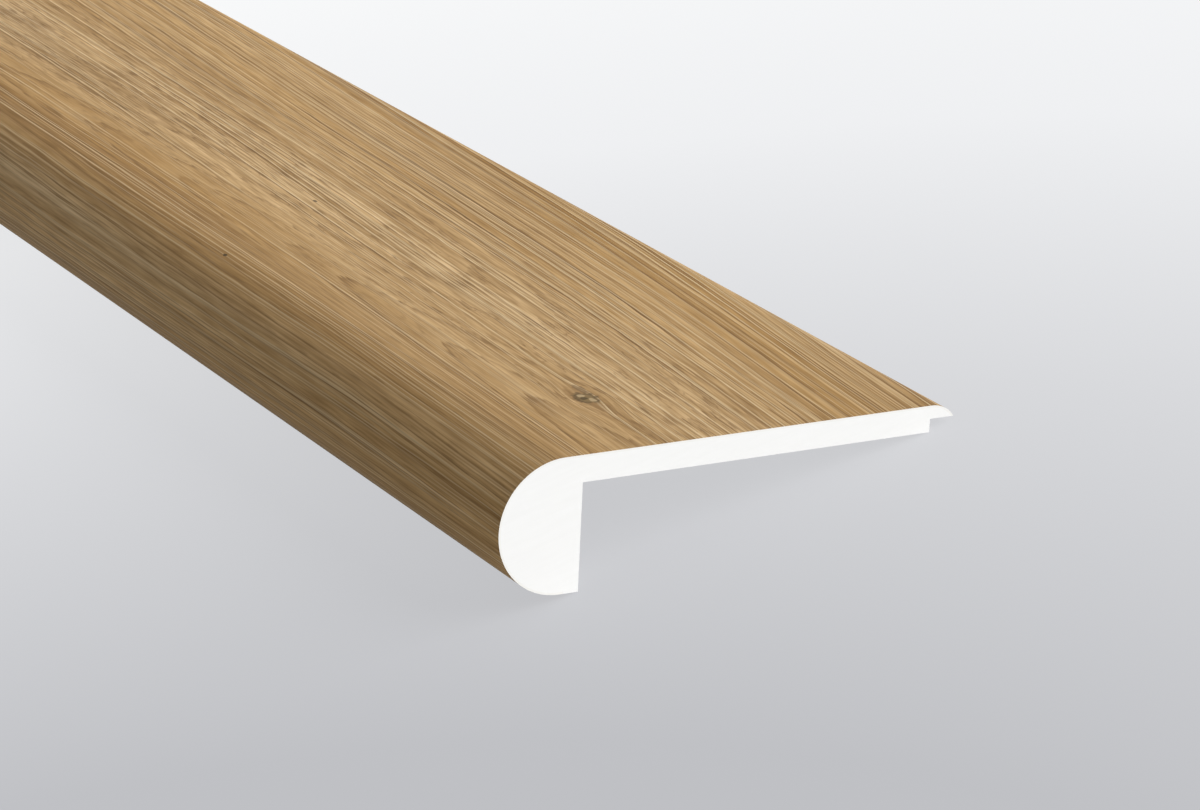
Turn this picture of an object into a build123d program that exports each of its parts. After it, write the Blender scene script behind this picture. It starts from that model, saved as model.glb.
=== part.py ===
from build123d import *
import os
from math import atan2, degrees, sqrt

# Overlapping stair nosing: a white rigid PVC moulding with a printed oak film wrapped over its show side.
# The section is drawn as it sits on a stair: Y runs back from the front of the nose and Z runs up from its sole.
# The finished length then lies as it rests on a floor, tipped back on its heel and the rear edge of its plate.
# All sizes are in millimetres, and the outer ones are measured over the film.

# Stock length and outer section
LENGTH = 2387.6
WIDTH = 69.85
HEIGHT = 19.05

# Nose: a full half round in front of a short square block, which drops over the edge of the step
NOSE_FLAT = 2.7

# Plate: the flat part that is glued to the tread
PLATE_THICKNESS = 3.8

# Lip: the thin rear edge that laps over the flooring, rounded down to a sharp tip
LIP_LENGTH = 3.8
LIP_THICKNESS = 1.9
LIP_ROUND = 4.4

# Film: glued over the lip, the plate and the nose, and trimmed on the sole just past the half round.
# The core is relieved by the film's thickness, so the film's trimmed end lies flush in the sole.
FILM_THICKNESS = 0.3
FILM_TUCK = 0.5

# Levels and stations of the section
NOSE_RADIUS = HEIGHT / 2
NOSE_BACK = NOSE_RADIUS + NOSE_FLAT
PLATE_UNDERSIDE = HEIGHT - PLATE_THICKNESS
PLATE_REAR = WIDTH - LIP_LENGTH
LIP_UNDERSIDE = HEIGHT - LIP_THICKNESS
LIP_DROP = LIP_ROUND - LIP_THICKNESS
LIP_ROUND_START = WIDTH - sqrt(LIP_ROUND**2 - LIP_DROP**2)


def section(inset):
    """The moulding's cross-section, with its show side and sole pulled in by inset."""
    tip_y = LIP_ROUND_START + sqrt((LIP_ROUND - inset) ** 2 - LIP_DROP**2)
    with BuildSketch(Plane.YZ) as outline:
        with BuildLine():
            nose_back = Line((NOSE_BACK, PLATE_UNDERSIDE), (NOSE_BACK, inset))
            sole = Line(nose_back @ 1, (NOSE_RADIUS, inset))
            half_round = ThreePointArc(
                sole @ 1, (inset, NOSE_RADIUS), (NOSE_RADIUS, HEIGHT - inset)
            )
            top = Line(half_round @ 1, (LIP_ROUND_START, HEIGHT - inset))
            lip_round = TangentArc(top @ 1, (tip_y, LIP_UNDERSIDE), tangent=(1, 0))
            lip_seat = Line(lip_round @ 1, (PLATE_REAR, LIP_UNDERSIDE))
            plate_rear = Line(lip_seat @ 1, (PLATE_REAR, PLATE_UNDERSIDE))
            Line(plate_rear @ 1, nose_back @ 0)
        make_face()
    return outline.sketch


def untrimmed_film_end():
    """The strip of the film's section that is cut away, from its trimmed end back to the heel."""
    bare = NOSE_FLAT - FILM_TUCK
    strip = Rectangle(bare, FILM_THICKNESS, align=(Align.MAX, Align.MIN))
    return Plane.YZ * Pos(NOSE_BACK, 0) * strip


def stock(face):
    """A cross-section run out to the stock length, centred on the origin."""
    return extrude(face, LENGTH / 2, both=True)


film_section = section(0) - section(FILM_THICKNESS) - untrimmed_film_end()
core_section = section(0) - film_section
upright = {
    "core_moulding": stock(core_section),
    "decor_film": stock(film_section),
}

# Rest: the heel of the nose and the lower rear edge of the plate both touch the floor
TIP_BACK = degrees(atan2(PLATE_UNDERSIDE, PLATE_REAR - NOSE_BACK))
tipped = Rot(X=-TIP_BACK)
box = (tipped * Compound(list(upright.values()))).bounding_box()
placement = Pos(0, -box.center().Y, -box.min.Z) * tipped

os.makedirs("parts", exist_ok=True)
for name, solid in upright.items():
    export_step(placement * solid, f"parts/{name}.step")
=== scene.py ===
import bpy
from math import acos, atan2, cos, pi, radians, sin, sqrt
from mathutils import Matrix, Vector


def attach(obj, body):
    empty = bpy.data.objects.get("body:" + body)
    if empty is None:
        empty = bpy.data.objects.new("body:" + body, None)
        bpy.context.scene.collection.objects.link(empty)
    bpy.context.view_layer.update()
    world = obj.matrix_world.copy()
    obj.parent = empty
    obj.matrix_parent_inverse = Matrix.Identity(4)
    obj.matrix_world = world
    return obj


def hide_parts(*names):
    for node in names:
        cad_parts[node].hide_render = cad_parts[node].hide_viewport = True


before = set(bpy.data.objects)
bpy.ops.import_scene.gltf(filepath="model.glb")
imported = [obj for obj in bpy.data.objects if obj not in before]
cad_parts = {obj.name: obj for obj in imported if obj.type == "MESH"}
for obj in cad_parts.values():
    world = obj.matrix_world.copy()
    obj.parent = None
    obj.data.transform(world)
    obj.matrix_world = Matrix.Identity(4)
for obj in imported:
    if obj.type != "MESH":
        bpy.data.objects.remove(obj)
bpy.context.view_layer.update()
scene = bpy.context.scene
scene.view_settings.view_transform = "Standard"

# Core moulding: the white body of the nosing, one long extrusion of rigid PVC.
# It leaves the die as one section and is sawn square to its stock length,
# so the bare white plastic shows at both ends, under the plate and behind the nose.
MM = 0.001
LENGTH = 2387.6 * MM
WIDTH = 69.85 * MM
HEIGHT = 19.05 * MM
NOSE_RADIUS = HEIGHT / 2
NOSE_BACK = NOSE_RADIUS + 2.7 * MM
PLATE_UNDERSIDE = HEIGHT - 3.8 * MM
PLATE_REAR = WIDTH - 3.8 * MM
LIP_UNDERSIDE = HEIGHT - 1.9 * MM
LIP_ROUND = 4.4 * MM
LIP_DROP = LIP_ROUND + LIP_UNDERSIDE - HEIGHT
LIP_ROUND_START = WIDTH - sqrt(LIP_ROUND**2 - LIP_DROP**2)
FILM_THICKNESS = 0.3 * MM
FILM_TRIM = NOSE_RADIUS + 0.5 * MM
DRAWING_STEPS = 40
NOSE_SEGMENTS = 64
LIP_SEGMENTS = 14
WELD_GAP = 0.002 * MM
CREASE_ANGLE = radians(25)
ALL_CORNERS = 0.99
SAW_MARK = (60 * MM, 9 * MM, 0.7 * MM)

# As it lies on a floor, the nosing tips back onto its heel and the plate's rear edge.
TIP_BACK = atan2(PLATE_UNDERSIDE, PLATE_REAR - NOSE_BACK)


def tip_back(y, z):
    """A point of the upright section, turned with the nosing as it lies but not yet set down."""
    return y * cos(TIP_BACK) + z * sin(TIP_BACK), z * cos(TIP_BACK) - y * sin(TIP_BACK)


FLOOR_LEVEL = tip_back(NOSE_BACK, 0.0)[1]
NOSE_FRONT = tip_back(NOSE_RADIUS, NOSE_RADIUS)[0] - NOSE_RADIUS
LIP_TIP = tip_back(WIDTH, LIP_UNDERSIDE)[0]


def lie_down(y, z):
    """A point of the upright section at the far end, where it is once the nosing lies on the floor."""
    across, up = tip_back(y, z)
    return -LENGTH / 2, across - (NOSE_FRONT + LIP_TIP) / 2, up - FLOOR_LEVEL


def show_side(inset):
    """The section's show side from sole to lip, pulled in by inset: (y, z, arc length over the film)."""
    side = []
    for i in range(NOSE_SEGMENTS + 1):
        turn = pi * i / NOSE_SEGMENTS
        reach = NOSE_RADIUS - inset
        side.append((NOSE_RADIUS - reach * sin(turn), NOSE_RADIUS - reach * cos(turn),
                     NOSE_RADIUS * (turn - pi)))
    top_length = LIP_ROUND_START - NOSE_RADIUS
    reach = LIP_ROUND - inset
    for i in range(LIP_SEGMENTS + 1):
        share = i / LIP_SEGMENTS
        turn = share * acos(LIP_DROP / reach)
        side.append((LIP_ROUND_START + reach * sin(turn), HEIGHT - LIP_ROUND + reach * cos(turn),
                     top_length + share * LIP_ROUND * acos(LIP_DROP / LIP_ROUND)))
    return side


def add_node(tree, kind, settings={}, links={}):
    """Adds a node, sets it up, and feeds its inputs by name or number from nodes, sockets or values."""
    node = tree.nodes.new(kind)
    for key, value in settings.items():
        setattr(node, key, value)
    usable = [socket for socket in node.inputs if socket.enabled]
    for key, value in links.items():
        socket = usable[key] if isinstance(key, int) else next(s for s in usable if s.name == key)
        if isinstance(value, bpy.types.Node):
            value = next(s for s in value.outputs if s.enabled)
        if isinstance(value, bpy.types.NodeSocket):
            tree.links.new(value, socket)
        else:
            socket.default_value = value
    return node


def hex_colour(text):
    """An sRGB hex value as a linear colour."""
    parts = [int(text[i:i + 2], 16) / 255 for i in (1, 3, 5)]
    return [c / 12.92 if c <= 0.04045 else ((c + 0.055) / 1.055) ** 2.4 for c in parts] + [1.0]


def new_material(name):
    """An empty material, and its node tree."""
    material = bpy.data.materials.new(name)
    material.use_nodes = True
    material.node_tree.nodes.clear()
    return material, material.node_tree


# Drawing the section out to its length: each step pushes the end face on, as the die does.
drawing = bpy.data.node_groups.new("draw_section_to_length", "GeometryNodeTree")
sockets = {}
for label, kind, side in (("Section", "Geometry", "INPUT"), ("Length", "Float", "INPUT"),
                          ("Steps", "Int", "INPUT"), ("Finish", "Material", "INPUT"),
                          ("Stock", "Geometry", "OUTPUT")):
    sockets[label] = drawing.interface.new_socket(
        label, in_out=side, socket_type="NodeSocket" + kind).identifier
given = add_node(drawing, "NodeGroupInput").outputs
step = add_node(drawing, "ShaderNodeMath", {"operation": "DIVIDE"},
                {0: given["Length"], 1: given["Steps"]})
push = add_node(drawing, "ShaderNodeCombineXYZ", {}, {"X": step})
start_cap = add_node(drawing, "GeometryNodeFlipFaces", {}, {"Mesh": given["Section"]})
loop_in = drawing.nodes.new("GeometryNodeRepeatInput")
loop_out = drawing.nodes.new("GeometryNodeRepeatOutput")
loop_in.pair_with_output(loop_out)
loop_out.repeat_items.new("BOOLEAN", "End face")
drawing.links.new(given["Steps"], loop_in.inputs["Iterations"])
drawing.links.new(given["Section"], loop_in.inputs["Geometry"])
loop_in.inputs["End face"].default_value = True
pushed = add_node(drawing, "GeometryNodeExtrudeMesh", {"mode": "FACES"},
                  {"Mesh": loop_in.outputs["Geometry"], "Selection": loop_in.outputs["End face"],
                   "Offset": push, "Offset Scale": 1.0, "Individual": False})
drawing.links.new(pushed.outputs["Mesh"], loop_out.inputs["Geometry"])
drawing.links.new(pushed.outputs["Top"], loop_out.inputs["End face"])
both = add_node(drawing, "GeometryNodeJoinGeometry", {}, {"Geometry": start_cap})
drawing.links.new(loop_out.outputs["Geometry"], both.inputs["Geometry"])
welded = add_node(drawing, "GeometryNodeMergeByDistance", {}, {"Geometry": both, "Distance": WELD_GAP})
# The film's print is laid out flat: distance from the near end, and arc length across the section.
place = add_node(drawing, "ShaderNodeSeparateXYZ", {}, {0: add_node(drawing, "GeometryNodeInputPosition")})
from_near_end = add_node(drawing, "ShaderNodeMath", {"operation": "MULTIPLY_ADD"},
                         {0: place.outputs["X"], 1: -1.0, 2: LENGTH / 2})
across = add_node(drawing, "GeometryNodeInputNamedAttribute", {"data_type": "FLOAT"}, {"Name": "arc"})
flat_place = add_node(drawing, "ShaderNodeCombineXYZ", {}, {"X": from_near_end, "Y": across.outputs[0]})
laid_out = add_node(drawing, "GeometryNodeStoreNamedAttribute", {"data_type": "FLOAT2", "domain": "CORNER"},
                    {"Geometry": welded, "Name": "sheet", "Value": flat_place})
# Only a face with all its corners on the outer skin carries the print.
outer = add_node(drawing, "GeometryNodeInputNamedAttribute", {"data_type": "FLOAT"}, {"Name": "outer"})
is_show = add_node(drawing, "ShaderNodeMath", {"operation": "GREATER_THAN"},
                   {0: outer.outputs[0], 1: ALL_CORNERS})
marked = add_node(drawing, "GeometryNodeStoreNamedAttribute", {"data_type": "FLOAT", "domain": "FACE"},
                  {"Geometry": laid_out, "Name": "printed", "Value": is_show})
smooth = add_node(drawing, "GeometryNodeSetShadeSmooth", {"domain": "FACE"},
                  {"Geometry": marked, "Shade Smooth": True})
edge_angle = add_node(drawing, "GeometryNodeInputMeshEdgeAngle").outputs["Unsigned Angle"]
corner = add_node(drawing, "ShaderNodeMath", {"operation": "GREATER_THAN"}, {0: edge_angle, 1: CREASE_ANGLE})
creased = add_node(drawing, "GeometryNodeSetShadeSmooth", {"domain": "EDGE"},
                   {"Geometry": smooth, "Selection": corner, "Shade Smooth": False})
realized = add_node(drawing, "GeometryNodeRealizeInstances", {}, {"Geometry": creased})
finished = add_node(drawing, "GeometryNodeSetMaterial", {},
                    {"Geometry": realized, "Material": given["Finish"]})
add_node(drawing, "NodeGroupOutput", {}, {"Stock": finished})


def draw_out(name, points, faces, arcs, outers, material):
    """Draws a section, given at the far end, out to the stock length and keeps it as a plain mesh."""
    section = bpy.data.meshes.new(name + "_section")
    section.from_pydata(points, [], faces)
    for label, values in (("arc", arcs), ("outer", outers)):
        section.attributes.new(label, "FLOAT", "POINT").data.foreach_set("value", values)
    drawn = bpy.data.objects.new(name + "_drawn", section)
    scene.collection.objects.link(drawn)
    modifier = drawn.modifiers.new("drawing", "NODES")
    modifier.node_group = drawing
    modifier[sockets["Length"]] = LENGTH
    modifier[sockets["Steps"]] = DRAWING_STEPS
    modifier[sockets["Finish"]] = material
    bpy.context.view_layer.update()
    stock = bpy.data.meshes.new_from_object(drawn.evaluated_get(bpy.context.evaluated_depsgraph_get()))
    bpy.data.objects.remove(drawn)
    stock.name = name
    piece = bpy.data.objects.new(name, stock)
    scene.collection.objects.link(piece)
    return piece


# Rigid PVC, extruded: an even, very slightly warm white with a soft plastic sheen.
# The sawn ends are duller than the skin from the die, with faint marks from the blade.
white_pvc, tree = new_material("rigid_pvc_white_extruded")
coords = add_node(tree, "ShaderNodeTexCoord").outputs["Object"]
saw_marks = add_node(tree, "ShaderNodeTexNoise", {}, {
    "Vector": add_node(tree, "ShaderNodeMapping", {}, {
        "Vector": coords, "Scale": [1 / size for size in SAW_MARK]}),
    "Scale": 1.0, "Detail": 3.0, "Roughness": 0.6})
white = add_node(tree, "ShaderNodeMix", {"data_type": "RGBA"}, {
    "Factor": saw_marks.outputs["Fac"], "A": hex_colour("#F1F1EF"), "B": hex_colour("#F6F6F5")})
grain = add_node(tree, "ShaderNodeBump", {}, {
    "Strength": 0.12, "Distance": 0.02 * MM, "Height": saw_marks.outputs["Fac"]})
body = add_node(tree, "ShaderNodeBsdfPrincipled", {}, {
    "Base Color": white, "Roughness": 0.55, "IOR": 1.54, "Normal": grain})
add_node(tree, "ShaderNodeOutputMaterial", {}, {"Surface": body})

covered = show_side(FILM_THICKNESS)
outline = [(NOSE_BACK, 0.0), (FILM_TRIM, 0.0), (FILM_TRIM, FILM_THICKNESS)]
outline += [(y, z) for y, z, arc in covered]
outline += [(PLATE_REAR, LIP_UNDERSIDE), (PLATE_REAR, PLATE_UNDERSIDE), (NOSE_BACK, PLATE_UNDERSIDE)]
core = draw_out("core_moulding_white", [lie_down(y, z) for y, z in outline],
                [list(range(len(outline)))[::-1]], [0.0] * len(outline), [0.0] * len(outline), white_pvc)
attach(core, "root")
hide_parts("core_moulding")

# Decor film: a thin PVC film with an oak print and a satin clear coat, glued round the show side.
# It runs from under the lip's tip over the plate and round the nose, and is trimmed on the sole.
# The print is laid out on the flat sheet, in millimetres from the near end and from the top of the nose.
RING_WIDTH = 2.0
RING_SHIFT = 0.49
RING_UNEVENNESS = 1.3
RING_ONSET = 0.06
RING_LINE_END = 0.26
EARLYWOOD_FADE = 1.7
LATE_LINE_WIDTH = 0.04
LATE_LINE_STRENGTH = 0.55
FIGURE_REPEAT = 1400
SLOW_WANDER = 6.0
FINE_WANDER = 0.4
GREY_BANDS = 0.18
KNOT = (20.3, 14.2)
KNOT_SWELL = (11.0, 5.0)
KNOT_PARTING = 0.7
KNOT_WOBBLE = 0.6
CYLINDER_TURN = 797.0
WARM_OAK = "#B08B57"
GREY_OAK = "#C2A47A"
LINE_BROWN = "#634423"
PORE_BROWN = "#6E512F"
PALE_FIBRE = "#DFC8A0"
FILM_BACK = "#F1F0EC"
# Across the sheet from sole to lip, as place and value: the height of the growth layers, how fast they
# run out along the sheet, the slope of the fibres, how ragged the layers are, how grey the wood is, how
# light the wood is together with painted shade round the top of the nose and painted light lower round
# it, how strongly it is marked, and how dark the ring lines are.
SHEET_FROM = -30.0
SHEET_TO = 70.0
LAYER_HEIGHT = ((-30, -46), (-8, -14), (0, -3), (4, 3.4), (7.5, 5.4), (12, 4.0), (19, 1.0), (25, 0),
                (31, 1.4), (38, 7.0), (57, 26), (70, 39))
RUN_OUT = ((-30, 0.03), (-10, 0.03), (6, 0.072), (12, 0.078), (70, 0.078))
FIBRE_SLOPE = ((-30, 0.0), (-10, 0.012), (0, 0.02), (8, 0.03), (20, 0.045), (32, 0.06), (42, 0.072),
               (70, 0.078))
RAGGEDNESS = ((-30, 0.1), (-2, 0.1), (4, 0.2), (8, 0.25), (16, 0.4), (25, 0.5), (32, 0.4), (38, 0.2),
              (46, 0.1), (70, 0.1))
GREYNESS = ((-30, 0.0), (-13, 0.05), (-8.5, 0.45), (-5, 0.38), (-2, 0.38), (2, 0.38), (9, 0.6),
            (16, 0.65), (25, 0.8), (33, 0.6), (42, 0.2), (60, 0.2), (70, 0.2))
# Lightness: the print's tone, with painted shade from just above the nose's top round its upper front
# (darkest at -1.5) and painted light on the nose's lower part and underside.
LIGHTNESS_WITH_PAINTED_SHADE = ((-30, 1.12), (-16, 1.09), (-12.5, 1.04), (-9, 1.06), (-6.5, 0.91), (-4, 0.84),
             (-1.5, 0.735), (3, 0.87), (8, 0.965), (16, 0.915), (24, 0.98), (32, 0.94), (40, 0.88),
             (50, 0.88), (56, 0.84), (70, 0.84))
FIGURE = ((-30, 0.85), (-10, 0.8), (-6, 0.6), (-1, 0.7), (3, 0.75), (8, 0.5), (15, 0.9), (25, 0.95),
          (36, 0.9), (46, 0.75), (56, 0.9), (70, 0.9))
RING_LINES = ((-30, 0.7), (-8, 0.7), (0, 0.6), (4, 0.7), (10, 0.7), (15, 0.4), (30, 0.36), (36, 0.8),
              (42, 1.0), (70, 1.0))
# Marks of the knot and two pin knots: centre from the knot, half length and width, strength and colour.
KNOT_MARKS = (((0.2, 0.0), (7.0, 3.2), 0.35, "#86653D"), ((3.6, 1.1), (2.8, 1.0), 0.5, "#634D34"),
              ((0.0, 0.0), (3.4, 2.4), 0.8, "#4F4027"), ((-0.1, 0.0), (2.4, 1.5), 0.6, "#8F764E"),
              ((-1.0, 0.5), (1.0, 0.7), 0.6, "#C4AC84"), ((1.0, -0.2), (0.9, 0.8), 0.6, "#C4AC84"),
              ((-0.1, -0.3), (0.9, 0.9), 0.75, "#43371F"),
              ((98.0, 7.3), (0.75, 0.4), 0.85, "#3A2E20"), ((78.4, -16.9), (0.75, 0.4), 0.85, "#3A2E20"))
# Broad streaks of the print: centre from the knot, half length and width, and how much lighter and
# greyer. Each is even up to its core's share of that reach.
STREAK_CORE = 0.3
STREAKS = (((170, -7.7), (150, 9), -0.05, -0.5), ((160, -12.8), (130, 5.2), -0.11, 0.0),
           ((170, 32), (150, 12), 0.11, 0.0), ((150, -28.2), (120, 5.5), 0.13, 0.0),
           ((130, 13), (150, 9), -0.03, -0.15))
MATH, VECTOR, MIX, NOISE, MAPPING, RANGE = (
    "ShaderNodeMath", "ShaderNodeVectorMath", "ShaderNodeMix", "ShaderNodeTexNoise", "ShaderNodeMapping",
    "ShaderNodeMapRange")

# Printed PVC film, with a satin coat: flat-sawn natural oak in warm and grey browns, even in gloss,
# with the pores pressed in lightly.
oak_print, tree = new_material("oak_print_film_satin")
sheet = add_node(tree, "ShaderNodeUVMap", {"uv_map": "sheet"})
flat = add_node(tree, VECTOR, {"operation": "SCALE"}, {"Vector": sheet, "Scale": 1 / MM})
split = add_node(tree, "ShaderNodeSeparateXYZ", {}, {0: flat})
along, side = split.outputs["X"], split.outputs["Y"]

# The knot comes round again with each turn of the printing cylinder, and the grain parts round it.
knot_along = add_node(tree, MATH, {"operation": "WRAP"}, {
    0: along, 1: KNOT[0] + CYLINDER_TURN / 2, 2: KNOT[0] - CYLINDER_TURN / 2})
from_knot = add_node(tree, VECTOR, {"operation": "SUBTRACT"}, {
    0: add_node(tree, "ShaderNodeCombineXYZ", {}, {"X": knot_along, "Y": side}), 1: (*KNOT, 0.0)})
swell_share = add_node(tree, VECTOR, {"operation": "LENGTH"}, {
    0: add_node(tree, VECTOR, {"operation": "DIVIDE"}, {0: from_knot, 1: (*KNOT_SWELL, 1.0)})})
swell = add_node(tree, RANGE, {"interpolation_type": "SMOOTHSTEP"}, {
    "Value": swell_share.outputs["Value"],
    "From Min": 0.0, "From Max": 1.0, "To Min": KNOT_PARTING, "To Max": 0.0})
parted = add_node(tree, MATH, {"operation": "MULTIPLY"}, {
    0: add_node(tree, "ShaderNodeSeparateXYZ", {}, {0: from_knot}).outputs["Y"], 1: swell})
slow, fine = [add_node(tree, NOISE, {"noise_dimensions": "2D"}, {
    "Vector": add_node(tree, MAPPING, {}, {"Vector": flat, "Scale": (1 / length, 1 / width, 1)}),
    "Scale": 1.0, "Detail": detail}).outputs["Fac"]
    for length, width, detail in ((230, 45, 1.0), (34, 7, 2.0))]
wander = add_node(tree, MATH, {"operation": "MULTIPLY_ADD"}, {
    0: slow, 1: SLOW_WANDER, 2: add_node(tree, MATH, {"operation": "MULTIPLY_ADD"}, {
        0: fine, 1: FINE_WANDER, 2: -(SLOW_WANDER + FINE_WANDER) / 2})})
bent = add_node(tree, MATH, {"operation": "ADD"}, {
    0: add_node(tree, MATH, {"operation": "SUBTRACT"}, {0: side, 1: parted}), 1: wander})

# The profiles across the sheet, read where the grain has wandered to.
across_share = add_node(tree, RANGE, {}, {"Value": bent, "From Min": SHEET_FROM, "From Max": SHEET_TO})
profiles = []
for stops, low, high in (
        (LAYER_HEIGHT, -50, 50), (RUN_OUT, 0, 0.1), (FIBRE_SLOPE, 0, 0.1), (RAGGEDNESS, 0, 1),
        (GREYNESS, 0, 1), (LIGHTNESS_WITH_PAINTED_SHADE, 0.5, 1.5), (FIGURE, 0, 1), (RING_LINES, 0, 1)):
    curve = add_node(tree, "ShaderNodeFloatCurve", {}, {"Value": across_share})
    points = curve.mapping.curves[0].points
    while len(points) < len(stops):
        points.new(0.5, 0.5)
    for point, (place_across, value) in zip(points, stops):
        point.location = ((place_across - SHEET_FROM) / (SHEET_TO - SHEET_FROM),
                          (value - low) / (high - low))
    curve.mapping.update()
    profiles.append(add_node(tree, RANGE, {"clamp": False}, {"Value": curve, "To Min": low, "To Max": high}))
layer, run_out, fibre_slope, raggedness, greyness, lightness_with_painted_shade, figure, ring_strength = profiles

for centre, reach, lighter, greyer in STREAKS:
    off_centre = add_node(tree, VECTOR, {"operation": "LENGTH"}, {
        0: add_node(tree, VECTOR, {"operation": "DIVIDE"}, {
            0: add_node(tree, VECTOR, {"operation": "SUBTRACT"}, {0: from_knot, 1: (*centre, 0.0)}),
            1: (*reach, 1.0)})}).outputs["Value"]
    streak = add_node(tree, RANGE, {"interpolation_type": "SMOOTHSTEP"}, {
        "Value": off_centre, "From Min": STREAK_CORE, "From Max": 1.0, "To Min": 1.0, "To Max": 0.0})
    lightness_with_painted_shade = add_node(tree, MATH, {"operation": "MULTIPLY_ADD"}, {0: streak, 1: lighter, 2: lightness_with_painted_shade})
    greyness = add_node(tree, MATH, {"operation": "MULTIPLY_ADD"}, {0: streak, 1: greyer, 2: greyness})

# Along the sheet the grain drifts to and fro, so that it never leaves the sheet.
drift = add_node(tree, MATH, {"operation": "MULTIPLY"}, {0: add_node(tree, MATH, {"operation": "SINE"}, {
    0: add_node(tree, MATH, {"operation": "MULTIPLY"}, {0: along, 1: 2 * pi / FIGURE_REPEAT})}),
    1: FIGURE_REPEAT / (2 * pi)})

# Fibres run with the grain. Each noise has its length and width in millimetres; the finest are drawn
# two or three times as wide as real oak fibres, so that they still show.
fibre_side = add_node(tree, MATH, {"operation": "SUBTRACT"}, {
    0: bent, 1: add_node(tree, MATH, {"operation": "MULTIPLY"}, {0: fibre_slope, 1: drift})})
fibre = add_node(tree, "ShaderNodeCombineXYZ", {}, {"X": along, "Y": fibre_side})
fibres = {}
for name, length, width, shift, detail in (
        ("ragged", 8, 0.5, (0, 0, 0), 1.0), ("grit", 9, 0.32, (5.5, 7.7, 0), 0.0),
        ("tone", 160, 1.4, (0, 0, 0), 1.0), ("stripes", 70, 2.2, (3.7, 6.6, 0), 0.0),
        ("bands", 420, 11, (0.4, 0.7, 0), 0.0), ("breaks", 110, 1.6, (7.3, 2.1, 0), 1.0),
        ("pores", 5, 0.28, (0, 0, 0), 0.0)):
    fibres[name] = add_node(tree, NOISE, {"noise_dimensions": "2D"}, {
        "Vector": add_node(tree, MAPPING, {}, {
            "Vector": fibre, "Location": shift, "Scale": (1 / length, 1 / width, 1)}),
        "Scale": 1.0, "Detail": detail}).outputs["Fac"]
ragged = add_node(tree, MATH, {"operation": "MULTIPLY"}, {0: raggedness, 1: add_node(
    tree, MATH, {"operation": "MULTIPLY_ADD"}, {0: fibres["ragged"], 1: 2.0, 2: -1.0})})

# Hairs: one to a strand, a dark line with a pale one beside it, that wander and come and go along
# their length. Their places and widths are shares of the strand's width.
HAIR_FULL = 0.63
HAIR_CORE = 0.05
DARK_PLACE = 0.18
PALE_PLACE = 0.48
PLACE_SHIFT = 0.4
STRAND_STEP = 7.31
STRAND_RUFFLE = 0.3
strand_side = add_node(tree, MATH, {"operation": "MULTIPLY_ADD"}, {
    0: ragged, 1: STRAND_RUFFLE, 2: fibre_side})
dark_hairs, pale_hairs = [], []
for length, width, shift, onset, spread, darkest, palest in (
        (260, 1.0, 3.1, 0.49, 0.13, 0.9, 0.7), (80, 0.55, 8.7, 0.48, 0.2, 0.65, 0.5)):
    strand = add_node(tree, MATH, {"operation": "DIVIDE"}, {0: strand_side, 1: width})
    course = add_node(tree, NOISE, {"noise_dimensions": "2D"}, {
        "Vector": add_node(tree, MAPPING, {}, {
            "Vector": add_node(tree, "ShaderNodeCombineXYZ", {}, {
                "X": along, "Y": add_node(tree, MATH, {"operation": "FLOOR"}, {0: strand})}),
            "Location": (shift, shift, 0), "Scale": (1 / length, STRAND_STEP, 1)}),
        "Scale": 1.0, "Detail": 0.0})
    amount = add_node(tree, RANGE, {}, {
        "Value": course.outputs["Fac"], "From Min": onset, "From Max": HAIR_FULL})
    sway = add_node(tree, "ShaderNodeSeparateColor", {}, {"Color": course.outputs["Color"]}).outputs["Green"]
    strand_place = add_node(tree, MATH, {"operation": "SUBTRACT"}, {
        0: add_node(tree, MATH, {"operation": "FRACT"}, {0: strand}),
        1: add_node(tree, RANGE, {}, {
            "Value": sway, "From Min": 0.35, "From Max": 0.65, "To Min": 0.0, "To Max": PLACE_SHIFT})})
    for hairs, centre, strength in ((dark_hairs, DARK_PLACE, darkest), (pale_hairs, PALE_PLACE, palest)):
        off_line = add_node(tree, MATH, {"operation": "ABSOLUTE"}, {
            0: add_node(tree, MATH, {"operation": "SUBTRACT"}, {0: strand_place, 1: centre})})
        line = add_node(tree, RANGE, {}, {
            "Value": off_line, "From Min": HAIR_CORE, "From Max": spread, "To Min": strength, "To Max": 0.0})
        hairs.append(add_node(tree, MATH, {"operation": "MULTIPLY"}, {0: amount, 1: line}))

# Growth rings: their layers rise and fall across the sheet and run out slowly along it, so the saw
# cuts pointed arches where they are flat and straight lines where they are steep.
depth_in_log = add_node(tree, MATH, {"operation": "ADD"}, {
    0: add_node(tree, MATH, {"operation": "SUBTRACT"}, {
        0: layer, 1: add_node(tree, MATH, {"operation": "MULTIPLY"}, {0: run_out, 1: drift})}), 1: ragged})
ring = add_node(tree, MATH, {"operation": "MULTIPLY_ADD"}, {
    0: depth_in_log, 1: 1 / RING_WIDTH, 2: RING_SHIFT})
uneven = add_node(tree, NOISE, {"noise_dimensions": "1D"}, {
    "W": ring, "Scale": 0.8, "Detail": 2.0}).outputs["Fac"]
ring_place = add_node(tree, MATH, {"operation": "FRACT"}, {0: add_node(
    tree, MATH, {"operation": "MULTIPLY_ADD"}, {0: uneven, 1: RING_UNEVENNESS, 2: ring})})
ring_onset = add_node(tree, RANGE, {"interpolation_type": "SMOOTHSTEP"}, {
    "Value": ring_place, "From Min": 0.0, "From Max": RING_ONSET})
ring_zone = add_node(tree, MATH, {"operation": "MULTIPLY"}, {0: ring_onset, 1: add_node(
    tree, MATH, {"operation": "POWER"}, {
        0: add_node(tree, MATH, {"operation": "SUBTRACT"}, {0: 1.0, 1: ring_place}), 1: EARLYWOOD_FADE})})
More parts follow.
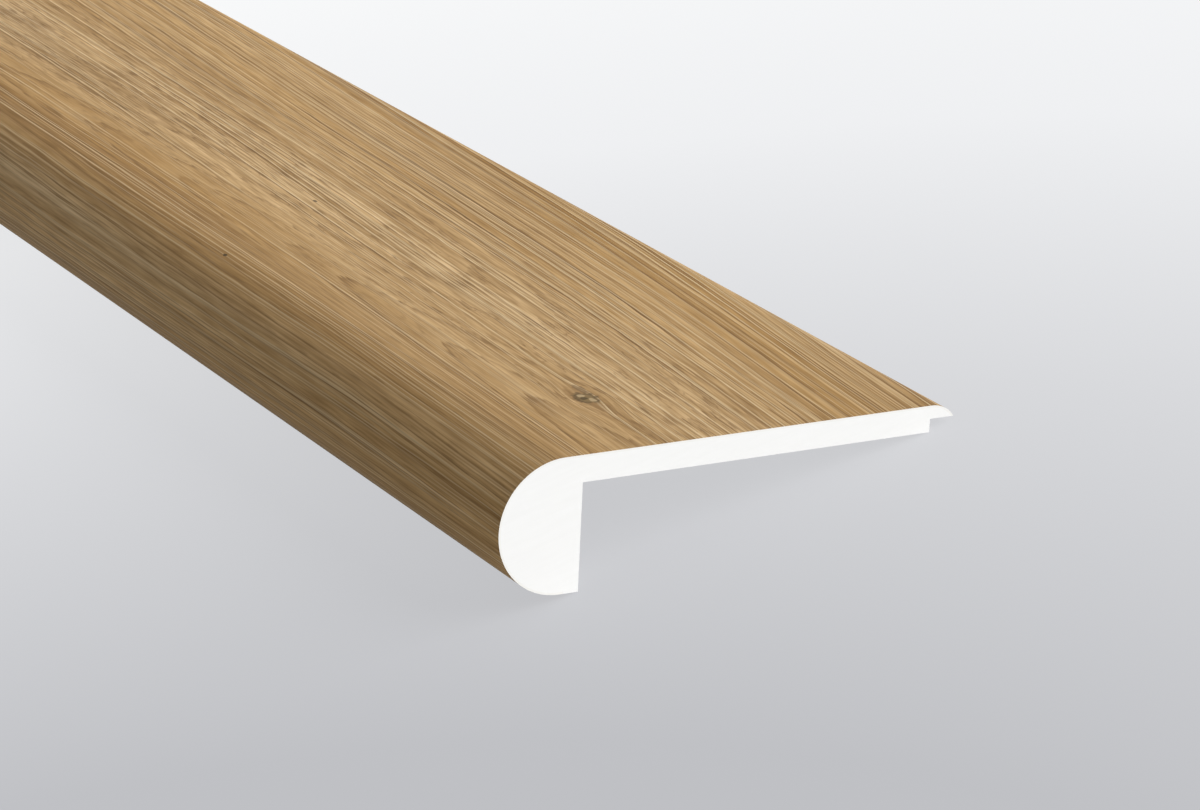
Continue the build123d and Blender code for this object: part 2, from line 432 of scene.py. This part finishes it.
ring_line = add_node(tree, MATH, {"operation": "MULTIPLY"}, {0: ring_onset, 1: add_node(tree, RANGE, {}, {
    "Value": ring_place, "From Min": RING_ONSET, "From Max": RING_LINE_END, "To Min": 1.0, "To Max": 0.0})})
ring_weight = add_node(tree, RANGE, {}, {
    "Value": uneven, "From Min": 0.36, "From Max": 0.6, "To Min": 0.6, "To Max": 1.0})
log_place = add_node(tree, "ShaderNodeCombineXYZ", {}, {"X": along, "Y": depth_in_log})
growth, late_lines = [add_node(tree, NOISE, {"noise_dimensions": "2D"}, {
    "Vector": add_node(tree, MAPPING, {}, {
        "Vector": log_place, "Location": shift, "Scale": (1 / length, 1 / width, 1)}),
    "Scale": 1.0, "Detail": 1.0}).outputs["Fac"]
    for length, width, shift in ((200, 0.8, (0, 0, 0)), (200, 1.0, (5.1, 3.3, 0)))]
late_line = add_node(tree, RANGE, {}, {"Value": add_node(tree, MATH, {"operation": "ABSOLUTE"}, {
    0: add_node(tree, MATH, {"operation": "SUBTRACT"}, {0: late_lines, 1: 0.5})}),
    "From Min": 0.0, "From Max": LATE_LINE_WIDTH, "To Min": LATE_LINE_STRENGTH, "To Max": 0.0})

# Colours of the print, from the ground tone up to the marks on it.
grey_share = add_node(tree, MATH, {"operation": "ADD", "use_clamp": True}, {
    0: greyness, 1: add_node(tree, RANGE, {}, {
        "Value": fibres["bands"], "From Min": 0.3, "From Max": 0.7,
        "To Min": -GREY_BANDS, "To Max": GREY_BANDS})})
ground = add_node(tree, MIX, {"data_type": "RGBA"}, {
    "Factor": grey_share, "A": hex_colour(WARM_OAK), "B": hex_colour(GREY_OAK)})
marking = 1.0
for value, low, high in (
        (fibres["grit"], 0.83, 1.17), (fibres["tone"], 0.85, 1.15), (fibres["stripes"], 0.89, 1.11),
        (growth, 0.95, 1.05), (ring_zone, 1.0, 0.97)):
    shading = add_node(tree, RANGE, {"clamp": False}, {
        "Value": value, "From Min": 0.25, "From Max": 0.75, "To Min": low, "To Max": high})
    marking = add_node(tree, MATH, {"operation": "MULTIPLY"}, {0: marking, 1: shading})
# The lightness brings the painted shade and painted light of the nose into the colour.
shade = add_node(tree, MATH, {"operation": "MULTIPLY"}, {0: lightness_with_painted_shade, 1: add_node(
    tree, MATH, {"operation": "POWER"}, {0: marking, 1: figure})})
# Light fibres are paler and dark ones browner, so the shade tells most on blue and least on red.
tint = add_node(tree, "ShaderNodeCombineColor", {}, {channel: add_node(
    tree, MATH, {"operation": "POWER"}, {0: shade, 1: power})
    for channel, power in (("Red", 1.0), ("Green", 1.18), ("Blue", 1.55))})
toned = add_node(tree, MIX, {"data_type": "RGBA", "blend_type": "MULTIPLY"}, {
    "Factor": 1.0, "A": ground, "B": tint})
present = add_node(tree, RANGE, {}, {
    "Value": fibres["breaks"], "From Min": 0.35, "From Max": 0.62, "To Min": 0.35, "To Max": 1.0})
dark_line = late_line
for hair in dark_hairs:
    dark_line = add_node(tree, MATH, {"operation": "MAXIMUM"}, {0: dark_line, 1: hair})
weighted_ring = add_node(tree, MATH, {"operation": "MULTIPLY"}, {0: ring_line, 1: ring_weight})
dark_line = add_node(tree, MATH, {"operation": "MAXIMUM"}, {
    0: add_node(tree, MATH, {"operation": "MULTIPLY"}, {0: weighted_ring, 1: ring_strength}),
    1: add_node(tree, MATH, {"operation": "MULTIPLY"}, {0: dark_line, 1: figure})})
line_mark = add_node(tree, MATH, {"operation": "MULTIPLY"}, {0: dark_line, 1: present})
ringed = add_node(tree, MIX, {"data_type": "RGBA"}, {
    "Factor": line_mark, "A": toned, "B": hex_colour(LINE_BROWN)})
pore_mark = add_node(tree, MATH, {"operation": "MULTIPLY"}, {
    0: add_node(tree, MATH, {"operation": "MULTIPLY"}, {
        0: add_node(tree, RANGE, {}, {"Value": raggedness, "From Max": 0.5, "To Min": 0.35, "To Max": 1.0}),
        1: add_node(tree, RANGE, {}, {"Value": ring_zone, "From Max": 0.6, "To Min": 0.15, "To Max": 1.0})}),
    1: add_node(tree, RANGE, {}, {
        "Value": fibres["pores"], "From Min": 0.58, "From Max": 0.68, "To Min": 0.0, "To Max": 0.55})})
haired = add_node(tree, MIX, {"data_type": "RGBA"}, {
    "Factor": pore_mark, "A": ringed, "B": hex_colour(PORE_BROWN)})
ring_pale = add_node(tree, MATH, {"operation": "MULTIPLY"}, {
    0: add_node(tree, RANGE, {}, {"Value": ring_strength, "From Min": 0.5}), 1: add_node(tree, RANGE, {}, {
        "Value": ring_place, "From Min": 0.75, "From Max": 0.95, "To Min": 0.0, "To Max": 0.3})})
for hair in (*pale_hairs, ring_pale):
    haired = add_node(tree, MIX, {"data_type": "RGBA"}, {
        "Factor": add_node(tree, MATH, {"operation": "MULTIPLY"}, {0: figure, 1: hair}),
        "A": haired, "B": hex_colour(PALE_FIBRE)})

# The knot and the pin knots lie over the grain, with wobbling edges.
knotted = haired
knot_edge = add_node(tree, NOISE, {"noise_dimensions": "2D"}, {"Vector": flat, "Scale": 1.1, "Detail": 1.0})
for centre, reach, strength, text in KNOT_MARKS:
    off_centre = add_node(tree, VECTOR, {"operation": "LENGTH"}, {
        0: add_node(tree, VECTOR, {"operation": "DIVIDE"}, {
            0: add_node(tree, VECTOR, {"operation": "SUBTRACT"}, {0: from_knot, 1: (*centre, 0.0)}),
            1: (*reach, 1.0)})}).outputs["Value"]
    mark = add_node(tree, RANGE, {"interpolation_type": "SMOOTHSTEP"}, {
        "Value": add_node(tree, MATH, {"operation": "MULTIPLY_ADD"}, {
            0: knot_edge.outputs["Fac"], 1: KNOT_WOBBLE, 2: off_centre}),
        "From Min": 0.8, "From Max": 1.15, "To Min": strength, "To Max": 0.0})
    knotted = add_node(tree, MIX, {"data_type": "RGBA"}, {
        "Factor": mark, "A": knotted, "B": hex_colour(text)})

printed = add_node(tree, "ShaderNodeAttribute", {"attribute_name": "printed"})
colour = add_node(tree, MIX, {"data_type": "RGBA"}, {
    "Factor": printed.outputs["Fac"], "A": hex_colour(FILM_BACK), "B": knotted})
pressed = add_node(tree, "ShaderNodeBump", {"invert": True}, {
    "Strength": 0.25, "Distance": 0.05 * MM, "Height": pore_mark})
base = add_node(tree, "ShaderNodeBsdfPrincipled", {}, {
    "Base Color": colour, "Roughness": 0.6, "IOR": 1.5, "Specular IOR Level": 0.1, "Normal": pressed})
add_node(tree, "ShaderNodeOutputMaterial", {}, {"Surface": base})

skin, back = show_side(0.0), show_side(FILM_THICKNESS)
trim_arc = -pi * NOSE_RADIUS - (FILM_TRIM - NOSE_RADIUS)
skin = [(FILM_TRIM, 0.0, trim_arc)] + skin
back = [(FILM_TRIM, FILM_THICKNESS, trim_arc)] + back
rows = len(skin)
film = draw_out("decor_film_oak", [lie_down(y, z) for y, z, arc in skin + back],
                [[i, i + 1, rows + i + 1, rows + i][::-1] for i in range(rows - 1)],
                [arc for y, z, arc in skin + back], [1.0] * rows + [0.0] * rows, oak_print)
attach(film, "root")
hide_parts("decor_film")

# Floor: a plain pale studio floor, which the nosing lies on.
# It is white but for a painted shade, light grey, in front of the near end, and it keeps the nosing's own
# soft shadow.
FLOOR_REACH = 6.0
SHADE_CENTRE = (1.33, -0.16, 0.0)
SHADE_REACH = 0.43
PAINTED_SHADE_TONES = ((0.0, "#B8B9BD"), (0.36, "#C2C3C7"), (0.58, "#DBDCDF"), (0.78, "#F2F3F5"),
               (1.0, "#FBFCFD"))
SHADOW_SHARE = 0.14
floor_mesh = bpy.data.meshes.new("studio_floor")
floor_mesh.from_pydata([(-FLOOR_REACH, -FLOOR_REACH, 0), (FLOOR_REACH, -FLOOR_REACH, 0),
                        (FLOOR_REACH, FLOOR_REACH, 0), (-FLOOR_REACH, FLOOR_REACH, 0)], [], [[0, 1, 2, 3]])
floor = bpy.data.objects.new("studio_floor", floor_mesh)
scene.collection.objects.link(floor)
pale_floor, tree = new_material("studio_floor_pale")
# The painted shade: grey at its centre and white beyond its reach.
from_shade = add_node(tree, VECTOR, {"operation": "DISTANCE"}, {
    0: add_node(tree, "ShaderNodeTexCoord").outputs["Object"], 1: SHADE_CENTRE}).outputs["Value"]
painted_shade_fade = add_node(tree, "ShaderNodeValToRGB", {}, {"Fac": add_node(tree, RANGE, {}, {
    "Value": from_shade, "From Max": SHADE_REACH})})
tones = painted_shade_fade.color_ramp.elements
while len(tones) < len(PAINTED_SHADE_TONES):
    tones.new(0.5)
for tone_stop, (stop, text) in zip(tones, PAINTED_SHADE_TONES):
    tone_stop.position = stop
    tone_stop.color = hex_colour(text)
seen = add_node(tree, "ShaderNodeLightPath")
mirrored = add_node(tree, MATH, {"operation": "MAXIMUM"}, {
    0: seen.outputs["Is Glossy Ray"], 1: seen.outputs["Is Transmission Ray"]})
in_view = add_node(tree, MATH, {"operation": "MAXIMUM"}, {0: seen.outputs["Is Camera Ray"], 1: mirrored})
lit = add_node(tree, "ShaderNodeBsdfDiffuse", {}, {"Color": painted_shade_fade.outputs["Color"]})
glow = add_node(tree, "ShaderNodeEmission", {}, {"Color": painted_shade_fade.outputs["Color"], "Strength": 1.0})
paled = add_node(tree, "ShaderNodeMixShader", {}, {0: SHADOW_SHARE, 1: glow, 2: lit})
dull = add_node(tree, "ShaderNodeBsdfDiffuse", {}, {"Color": hex_colour("#C4C4C4")})
add_node(tree, "ShaderNodeOutputMaterial", {}, {
    "Surface": add_node(tree, "ShaderNodeMixShader", {}, {0: in_view, 1: dull, 2: paled})})
floor_mesh.materials.append(pale_floor)

# Light: an even pale surround, and one wide soft lamp high behind the near end.
# The surround lights the nosing faintly, but the camera and the gloss see it nearly white.
LAMP_FROM = (0.58, 0.70, 0.44)
world = bpy.data.worlds.new("studio_surround")
scene.world = world
world.use_nodes = True
tree = world.node_tree
tree.nodes.clear()
seen = add_node(tree, "ShaderNodeLightPath")
mirrored = add_node(tree, MATH, {"operation": "MAXIMUM"}, {
    0: seen.outputs["Is Glossy Ray"], 1: seen.outputs["Is Transmission Ray"]})
in_view = add_node(tree, MATH, {"operation": "MAXIMUM"}, {0: seen.outputs["Is Camera Ray"], 1: mirrored})
surround = add_node(tree, "ShaderNodeBackground", {}, {"Color": hex_colour("#FFFFFF"), "Strength": 0.3})
backdrop = add_node(tree, "ShaderNodeBackground", {}, {"Color": hex_colour("#F9FAFB"), "Strength": 1.0})
add_node(tree, "ShaderNodeOutputWorld", {}, {
    "Surface": add_node(tree, "ShaderNodeMixShader", {}, {0: in_view, 1: surround, 2: backdrop})})
lamp = bpy.data.lights.new("soft_key", "SUN")
lamp.energy = 3.65
lamp.angle = radians(50)
key = bpy.data.objects.new("soft_key", lamp)
key.rotation_mode = "QUATERNION"
key.rotation_quaternion = Vector(LAMP_FROM).to_track_quat("Z", "Y")
scene.collection.objects.link(key)

# Camera: a long lens above the near end, at the photograph's angle.
# It is rolled a little, because the nosing lies tipped back here.
view = bpy.data.cameras.new("product_view")
view.lens = 142.17
view.clip_start = 0.05
camera = bpy.data.objects.new("product_view", view)
camera.location = (1.69838, -0.24485, 0.29259)
camera.rotation_euler = (radians(63.6005), radians(11.2019), radians(60.1295))
scene.collection.objects.link(camera)
scene.camera = camera
